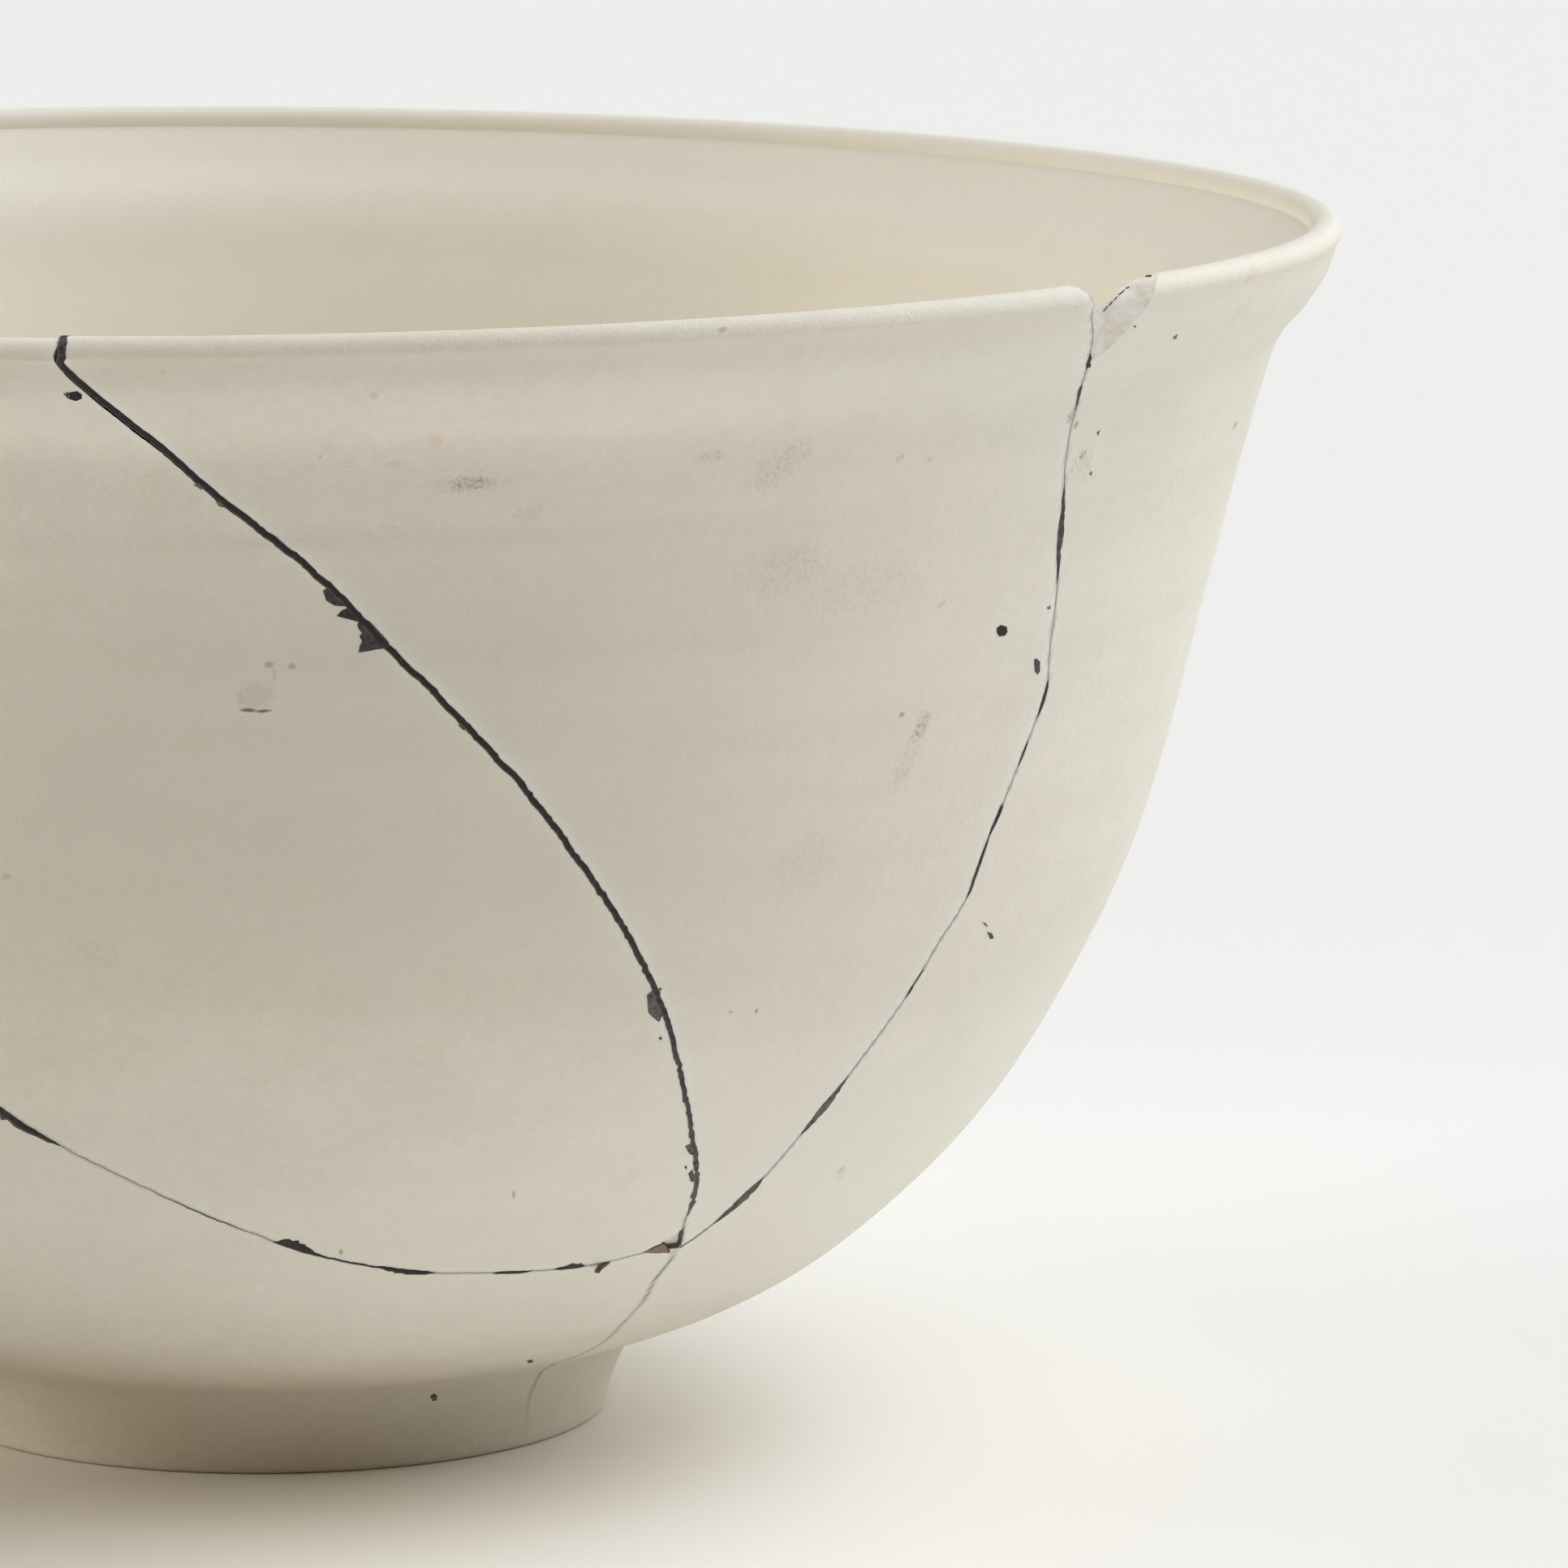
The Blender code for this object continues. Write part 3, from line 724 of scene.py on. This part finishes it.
# The fillings along the lower seam: (degrees, half width below and above, how rubbed)
LOWER_FILLING = [
    (-141.0, 0.05, 0.05, 0.1), (-126.0, 0.05, 0.05, 0.1), (-124.0, 0.22, 0.25, 0.1), (-119.0, 0.24, 0.15, 0.1),
    (-117.0, 0.05, 0.05, 0.1), (-108.5, 0.10, 0.05, 0.1), (-105.8, 0.70, 0.05, 0.1), (-104.5, 0.66, 0.05, 0.1),
    (-103.4, 0.55, 0.05, 0.0), (-102.3, 0.25, 0.05, 0.2), (-101.8, 0.04, 0.04, 0.2), (-95.0, 0.06, 0.05, 0.4),
    (-92.0, 0.08, 0.05, 0.2), (-88.0, 0.05, 0.05, 0.2), (-87.0, 0.05, 0.05, 0.1), (-86.6, 0.10, 0.50, 0.1),
    (-85.6, 0.10, 0.85, 0.1), (-84.6, 0.10, 0.50, 0.1), (-83.4, 0.08, 0.10, 0.2), (-79.0, 0.08, 0.10, 0.1),
    (-78.5, 0.10, 0.15, 0.0), (-77.8, 0.32, 0.16, 0.0), (-76.2, 0.45, 0.14, 0.0), (-74.6, 0.28, 0.14, 0.0),
    (-74.0, 0.04, 0.04, 0.2), (-69.0, 0.05, 0.05, 0.1), (-68.5, 0.14, 0.14, 0.0), (-67.0, 0.20, 0.14, 0.0),
    (-65.7, 0.10, 0.08, 0.1), (-65.3, 0.04, 0.04, 0.2), (-63.5, 0.04, 0.06, 0.1), (-63.0, 0.10, 0.24, 0.0),
    (-61.9, 0.10, 0.52, 0.2), (-61.1, 0.10, 0.44, 0.2), (-60.7, 0.04, 0.05, 0.0), (-60.0, 0.04, 0.04, 0.2),
    (-58.7, 0.04, 0.04, 0.2), (-51.0, 0.03, 0.03, 0.3)]
# What was left in the joints inside, where they were scraped clean
LEFT_FILLING_INSIDE = (0.26, 0.26, 0.15)
TIGHT_FILLING_INSIDE = (0.05, 0.05, 0.3)

lacquer = Finish("joint_lacquer", Specular_IOR_Level=0.35)
lacquer_spot = lacquer.place()
dust = lacquer.grain(lacquer_spot, 0.35, detail=4.0)
lacquer_colour = lacquer.blend(lacquer.spread(dust, 0.42, 0.75), LACQUER_BLACK, LACQUER_DUSTY)
lacquer_colour = lacquer.blend(
    lacquer.marked("rubbed") * lacquer.spread(dust, 0.25, 0.6), lacquer_colour, LACQUER_RUBBED)
lacquer_colour = lacquer.blend(
    lacquer.marked("browned") * lacquer.spread(dust, 0.2, 0.5), lacquer_colour, LACQUER_BROWN)
lacquer.wear(
    Base_Color=lacquer_colour,
    Roughness=0.42 + 0.35 * dust,
    Normal=lacquer.node("Bump", {
        "Height": lacquer.grain(lacquer_spot, 0.2, detail=3.0), "Distance": 0.00004, "Strength": 0.8}))


def joint_line(line):
    """Stations along a joint: up the outside, over the lip and down inside.

    Each is a point, the direction out of the wall, its angle and height, and whether it is inside.
    """
    def station(turn, radius, height, out, up, is_inside):
        direction = Vector((cos(radians(turn)) * out, sin(radians(turn)) * out, up)) / hypot(out, up)
        point = warped(radius * cos(radians(turn)), radius * sin(radians(turn)), height)
        return point, direction, turn, height, is_inside

    path = []
    climb = [(turn, height) for turn, height in line if height < HEIGHT - 1.5]
    for turn, height in climb:
        path.append(station(
            turn, lookup(outside, height) + relief(turn, height), height, 1.0, -lean(outside, height), False))
    if line[-1][1] > HEIGHT - 1.5:
        for radius, height in lip[1:-1]:
            path.append(station(line[-1][0], radius, height, radius - RIM_RADIUS, height - HEIGHT + half_lip, False))
        for turn, height in climb[::-1]:
            inner_height = height
            for _ in range(6):
                reach = lookup(inside, inner_height) / lookup(outside, height)
                inner_height = FOCUS.z / MM + (height - FOCUS.z / MM) * reach
            if inner_height < HEIGHT - 2.5:
                path.append(station(
                    turn, lookup(inside, inner_height), inner_height, -1.0, lean(inside, inner_height), True))
    return path


def bead(name, stations, filling, filling_inside, finish, by_turn=False, ragged=0.25, seed=0.0, browned=1.0):
    """A strip of lacquer along a joint, as wide at each station as its filling says."""
    ACROSS = 4
    bm = bmesh.new()
    outwards = bm.verts.layers.float_vector.new("outwards")
    rubbed = bm.verts.layers.float.new("rubbed")
    brown = bm.verts.layers.float.new("browned")
    bmesh.ops.create_grid(bm, x_segments=len(stations) - 1, y_segments=ACROSS, size=0.5)
    for vert in bm.verts:
        i = round((vert.co.x + 0.5) * (len(stations) - 1))
        share = round((vert.co.y + 0.5) * ACROSS) / ACROSS * 2 - 1
        point, out, turn, height, is_inside = stations[i]
        along = stations[min(i + 1, len(stations) - 1)][0] - stations[max(i - 1, 0)][0]
        aside = along.cross(out).normalized()
        place = turn if by_turn else height
        left, right, worn = filling_inside if is_inside else [lookup(filling, place, n) for n in (1, 2, 3)]
        wide = min(1.0, max(0.0, (max(left, right) - 0.05) / 0.05))
        reach = share * (right if share > 0 else left)
        reach *= 1.0 + wide * ragged * (1.0 + 2.0 * worn) * noise.noise(Vector((i * 0.9, seed + (1.0 if share > 0 else 7.0), 0.0)))
        crown = wide * (LACQUER_PROUD + 0.02 * (1 - share * share)) - (1 - wide) * LACQUER_SUNK
        vert.co = point + (aside * reach + out * crown) * MM
        vert[outwards] = out
        vert[rubbed] = worn
        vert[brown] = browned * (1.0 if share == -1.0 and left > 0.15 else 0.0) + 0.5 * (1.0 - wide)
    extruded = bmesh.ops.extrude_face_region(bm, geom=bm.faces[:])["geom"]
    for vert in extruded:
        if isinstance(vert, bmesh.types.BMVert):
            vert.co -= vert[outwards] * LACQUER_DEPTH * MM
    bm.verts.layers.float_vector.remove(bm.verts.layers.float_vector["outwards"])
    bmesh.ops.recalc_face_normals(bm, faces=bm.faces)
    piece = new_piece(name, bm, finish.material)
    for polygon in piece.data.polygons:
        polygon.use_smooth = True
    piece.data.set_sharp_from_angle(angle=radians(50.0))
    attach(piece, "root")
    return piece


bead("left_seam_lacquer", joint_line(left_course[::-1]), LEFT_FILLING, LEFT_FILLING_INSIDE, lacquer,
     ragged=0.45, seed=1.0, browned=0.55)
bead("right_seam_lacquer", joint_line(right_course), RIGHT_FILLING, TIGHT_FILLING_INSIDE, lacquer,
     seed=20.0, browned=0.3)
bead("lower_seam_lacquer", joint_line(lower_course), LOWER_FILLING, TIGHT_FILLING_INSIDE, lacquer,
     by_turn=True, ragged=0.5, seed=40.0, browned=0.6)


# ---- Crumbs of lacquer ----
# Small flat crumbs of the same lacquer stuck to the wall beside the seams, in the pit at
# the left sherd's tip and along the chip's inner edge. Each is placed where the
# photograph shows it, on whatever piece of the bowl lies there.

CRUMB_HEIGHT = 0.035
CRUMB_ROOT = 0.25
# A corner that comes to lie over a joint or an edge stays level with the rest of its crumb
CRUMB_REST = 0.15
# Outlines in the photograph's pixels, from its top left, then how rubbed and how brown
CRUMBS = [
    ([(398, 728), (404, 723), (412, 726), (432, 744), (425, 747), (412, 746), (402, 740)], 0.1, 0.1),
    ([(415, 759), (421, 752), (433, 747), (449, 763), (441, 766), (430, 763)], 0.1, 0.0),
    ([(440, 769), (447, 762), (456, 766), (479, 791), (480, 796), (472, 799), (463, 800), (454, 802),
      (442, 804), (443, 797), (446, 790), (443, 784), (446, 780), (442, 775)], 0.3, 0.0),
    ([(82, 485), (88, 483), (95, 482), (101, 486), (101, 491), (94, 494), (87, 492), (82, 490)], 0.0, 0.0),
    ([(78, 485), (84, 483), (86, 488), (84, 491)], 0.4, 1.0),
    ([(238, 597), (246, 596), (249, 604)], 0.2, 0.6),
    ([(266, 618), (274, 617), (276, 625), (270, 624)], 0.2, 0.6),
    ([(797, 1226), (803, 1221), (810, 1231), (816, 1251), (812, 1259), (806, 1255), (799, 1248), (798, 1238)], 0.8, 0.0),
    ([(811, 1218), (815, 1217), (814, 1221)], 0.0, 0.2),
    ([(811, 1279), (815, 1277), (815, 1282)], 0.2, 0.2),
    ([(564, 893), (571, 891), (575, 900), (570, 899)], 0.1, 0.3),
    ([(647, 983), (653, 982), (655, 990)], 0.1, 0.3),
    ([(844, 1412), (851, 1409), (855, 1424), (849, 1421)], 0.7, 0.0),
    ([(843, 1438), (846, 1436), (846, 1441)], 0.1, 0.1),
    ([(848, 1446), (853, 1441), (857, 1455), (851, 1456)], 0.7, 0.0),
    ([(733, 1565), (737, 1559), (752, 1554), (743, 1561), (739, 1566)], 0.0, 0.4),
    ([(1228, 774), (1233, 770), (1240, 772), (1241, 778), (1238, 783), (1231, 784), (1228, 779)], 0.0, 0.0),
    ([(1274, 813), (1277, 811), (1281, 815), (1281, 827), (1278, 831), (1275, 827)], 0.4, 0.0),
    ([(1290, 748), (1294, 746), (1294, 750), (1291, 751)], 0.5, 1.0),
    ([(1445, 415), (1451, 412), (1449, 417), (1446, 418)], 0.6, 0.8),
    ([(1339, 452), (1341, 447), (1344, 448), (1343, 453)], 0.0, 0.2),
    ([(1211, 1136), (1215, 1138), (1217, 1142), (1213, 1140)], 0.2, 0.5),
    ([(1216, 1148), (1222, 1150), (1224, 1156), (1220, 1157)], 0.1, 0.2),
    ([(649, 1677), (655, 1675), (657, 1678), (651, 1679)], 0.0, 0.2),
    ([(530, 1720), (535, 1717), (539, 1720), (538, 1725), (533, 1726)], 0.2, 0.6),
    ([(1396, 402), (1399, 401), (1399, 404)], 0.2, 0.6),
    ([(1351, 533), (1355, 530), (1353, 537)], 0.3, 0.8),
    ([(1342, 584), (1345, 580), (1345, 586)], 0.3, 0.8),
]
PIT_CRUMBS = [
    ([(792, 1543), (806, 1537), (818, 1532), (821, 1536), (824, 1543), (808, 1544)], 0.35, 1.0),
    ([(815, 1531), (819, 1530), (826, 1542), (822, 1544)], 0.0, 0.0),
]
# The dark line along the chip's inner edge, dash by dash
CHIP_DASHES = [
    ((1359, 383), (1364, 377)), ((1366, 376), (1370, 371)), ((1372, 370), (1376, 365)),
    ((1378, 363), (1385, 357)), ((1387, 355), (1391, 353)), ((1411, 340), (1419, 339))]
DASH_WIDTH = 1.4

bm = bmesh.new()
for piece in (body, front_sherd, left_sherd):
    bm.from_mesh(piece.data)
mended_wall = BVHTree.FromBMesh(bm)
bm.free()
looking = camera.rotation_euler.to_matrix()


def sight(across, down):
    """The line of sight through one of the photograph's pixels."""
    half = PHOTO_PIXELS / 2
    return (looking @ Vector(((across - half) / FOCAL_PIXELS, (half - down) / FOCAL_PIXELS, -1.0))).normalized()


def seen_at(across, down):
    """The place on the mended bowl under one of the photograph's pixels, and the direction out of it."""
    place, out, face, distance = mended_wall.ray_cast(CAMERA_PLACE, sight(across, down))
    return place, out


def lay_crumb(bm, outline, worn, brown, ragged=0.02):
    """Adds one crumb to a mesh of them: its foot sunk in the wall, its top edge worn off."""
    rubbed, browned = bm.verts.layers.float["rubbed"], bm.verts.layers.float["browned"]
    seen = [seen_at(*pixel) for pixel in outline]
    middle, out = sorted(seen, key=lambda hit: (hit[0] - CAMERA_PLACE).length)[len(seen) // 3]
    seen = []
    for pixel in outline:
        place, ray = seen_at(*pixel)[0], sight(*pixel)
        level = CAMERA_PLACE + ray * ((middle - CAMERA_PLACE).dot(out) / ray.dot(out))
        seen.append(place if (place - level).length < CRUMB_REST * MM else level)
    foot = bm.faces.new([bm.verts.new(place - out * CRUMB_ROOT * MM) for place in seen])
    split = bmesh.ops.subdivide_edges(bm, edges=foot.edges[:], cuts=1)
    for part in split["geom_inner"]:
        if isinstance(part, bmesh.types.BMVert):
            part.co += ragged * MM * noise.noise_vector(part.co / MM * 3.0)
    top = bmesh.ops.extrude_face_region(bm, geom=[foot])["geom"]
    raised = [part for part in top if isinstance(part, bmesh.types.BMVert)]
    bmesh.ops.translate(bm, verts=raised, vec=out * (CRUMB_ROOT + CRUMB_HEIGHT) * MM)
    for vert in foot.verts:
        vert[rubbed], vert[browned] = worn, brown
    for vert in raised:
        vert[rubbed], vert[browned] = worn, brown
    crest = [part for part in top if isinstance(part, bmesh.types.BMFace)]
    bmesh.ops.inset_region(bm, faces=crest, thickness=0.03 * MM, depth=0.015 * MM, use_even_offset=True)


bm = bmesh.new()
bm.verts.layers.float.new("rubbed")
bm.verts.layers.float.new("browned")
for outline, worn, brown in CRUMBS + PIT_CRUMBS:
    lay_crumb(bm, outline, worn, brown)
for (left, top), (right, bottom) in CHIP_DASHES:
    steep = Vector((right - left, bottom - top)).normalized() * DASH_WIDTH
    lay_crumb(bm, [
        (left, top), (right, bottom), (right - steep.y, bottom + steep.x), (left - steep.y, top + steep.x)], 0.1, 0.3)
bmesh.ops.recalc_face_normals(bm, faces=bm.faces)
crumbs = new_piece("lacquer_crumbs", bm, lacquer.material)
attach(crumbs, "root")


# ---- The crack in the foot ----
# A hairline runs on from the junction of the seams, down the body and through the foot
# ring. It never opened, and only fine dirt has settled along it.

CRACK_DIRT = (0.27, 0.262, 0.25, 1.0)

wall_colour = porcelain.blend(porcelain.marked("crack_soil") * (0.45 + 0.9 * drifts), wall_colour, CRACK_DIRT)


# ---- Stains on the wall ----
# Years of handling left smudges, specks and a few rusty spots on the matt porcelain. Each
# is a soft patch in its colour, set where the photograph shows it.

GREY_SMUDGE = (0.36, 0.33, 0.27, 1.0)
BROWN_SPOT = (0.30, 0.22, 0.16, 1.0)
RED_SPOT = (0.78, 0.52, 0.42, 1.0)
PALE_SPOT = (0.93, 0.91, 0.88, 1.0)
YELLOW_SPOT = (0.86, 0.76, 0.50, 1.0)
DARK_LINE = (0.20, 0.17, 0.14, 1.0)
# Middle and half sizes in the photograph's pixels, tilt in degrees, colour, strength, grainy
STAINS = [
    (580, 595, 30, 8, 2, GREY_SMUDGE, 0.55, True), (575, 596, 55, 12, 2, GREY_SMUDGE, 0.22, True),
    (537, 543, 11, 10, 0, RED_SPOT, 0.35, False), (482, 573, 12, 4, 5, BROWN_SPOT, 0.16, True),
    (461, 488, 6, 4, 0, BROWN_SPOT, 0.20, False), (394, 563, 4, 3, 0, BROWN_SPOT, 0.25, False),
    (480, 651, 18, 4, -8, BROWN_SPOT, 0.08, True), (200, 459, 5, 3, 0, RED_SPOT, 0.35, False),
    (875, 562, 22, 8, 0, GREY_SMUDGE, 0.22, True), (960, 572, 48, 26, 35, GREY_SMUDGE, 0.20, True),
    (650, 632, 26, 12, 0, GREY_SMUDGE, 0.14, True), (965, 700, 60, 36, 10, GREY_SMUDGE, 0.16, True),
    (1060, 720, 90, 40, 0, GREY_SMUDGE, 0.10, True), (890, 406, 7, 3, 10, BROWN_SPOT, 0.45, False),
    (331, 819, 7, 5, 0, BROWN_SPOT, 0.5, False), (360, 821, 5, 5, 0, BROWN_SPOT, 0.46, False),
    (338, 832, 3, 9, 0, BROWN_SPOT, 0.2, False), (316, 858, 27, 20, 0, GREY_SMUDGE, 0.2, False),
    (305, 875, 13, 2.5, -2, DARK_LINE, 0.95, False), (324, 876, 12, 2.5, 3, DARK_LINE, 0.95, False),
    (296, 860, 4, 14, 0, BROWN_SPOT, 0.13, False), (1111, 881, 4, 4, 0, BROWN_SPOT, 0.6, False),
    (1135, 895, 10, 20, -25, BROWN_SPOT, 0.42, True), (1115, 940, 14, 40, -25, GREY_SMUDGE, 0.18, True),
    (320, 1587, 7, 4, 0, PALE_SPOT, 0.95, False), (1186, 1012, 4, 4, 0, YELLOW_SPOT, 0.8, False),
    (1161, 744, 5, 3, 30, RED_SPOT, 0.5, False), (1108, 566, 7, 4, 30, BROWN_SPOT, 0.40, True),
    (1146, 566, 5, 4, 0, BROWN_SPOT, 0.22, True), (1334, 561, 4, 7, -20, BROWN_SPOT, 0.40, True),
    (1330, 575, 17, 24, -10, GREY_SMUDGE, 0.20, True), (1319, 514, 5, 8, -10, BROWN_SPOT, 0.55, True),
    (1326, 523, 3, 5, -10, BROWN_SPOT, 0.55, False), (1533, 380, 10, 7, 20, GREY_SMUDGE, 0.14, True),
    (1543, 340, 10, 7, 10, RED_SPOT, 0.22, False), (1522, 524, 2.5, 3, 0, BROWN_SPOT, 0.4, False),
    (1036, 1442, 3, 3, 0, BROWN_SPOT, 0.3, False),
    (420, 1543, 3, 3, 0, BROWN_SPOT, 0.6, False),
    (633, 1472, 2.2, 4, 15, BROWN_SPOT, 0.5, False), (120, 1170, 30, 25, 0, GREY_SMUDGE, 0.12, True),
    (990, 1070, 60, 40, 20, GREY_SMUDGE, 0.10, True), (8, 1080, 6, 4, 0, BROWN_SPOT, 0.25, False),
    (770, 1455, 24, 12, 30, GREY_SMUDGE, 0.08, True), (1036, 1449, 5, 4, 30, YELLOW_SPOT, 0.4, False),
    (900, 1247, 3, 2, 0, BROWN_SPOT, 0.4, False), (932, 1246, 2, 3, 20, BROWN_SPOT, 0.6, False),
]
SMALL = 0.02

ragged_edge = porcelain.grain(spot, 0.45, detail=3.0)
specks = porcelain.spread(porcelain.grain(spot, 0.22, detail=3.0), 0.46, 0.66)
for across, down, half_wide, half_high, tilt, colour, strength, grainy in STAINS:
    place, beside, below = (seen_at(*pixel)[0] for pixel in (
        (across, down), (across - half_wide, down), (across, down + half_high)))
    if not (place and beside and below):
        continue
    wide, high = (beside - place).length / MM, (below - place).length / MM
    own = porcelain.node("Mapping", {
        "Vector": spot, "Location": place / MM, "Rotation": (radians(tilt), 0.0, atan2(place.y, place.x)),
        "Scale": (4.0, wide + SMALL, high + SMALL)}, vector_type='TEXTURE')
    reach = porcelain.node("VectorMath", {0: own}, output="Value", operation='LENGTH')
    share = porcelain.spread(reach + 1.0 * ragged_edge, 0.9, 1.6, strength, 0.0)
    if grainy:
        share = share * (0.35 + 1.1 * specks)
    wall_colour = porcelain.blend(share, wall_colour, colour)
porcelain.wear(Base_Color=wall_colour)
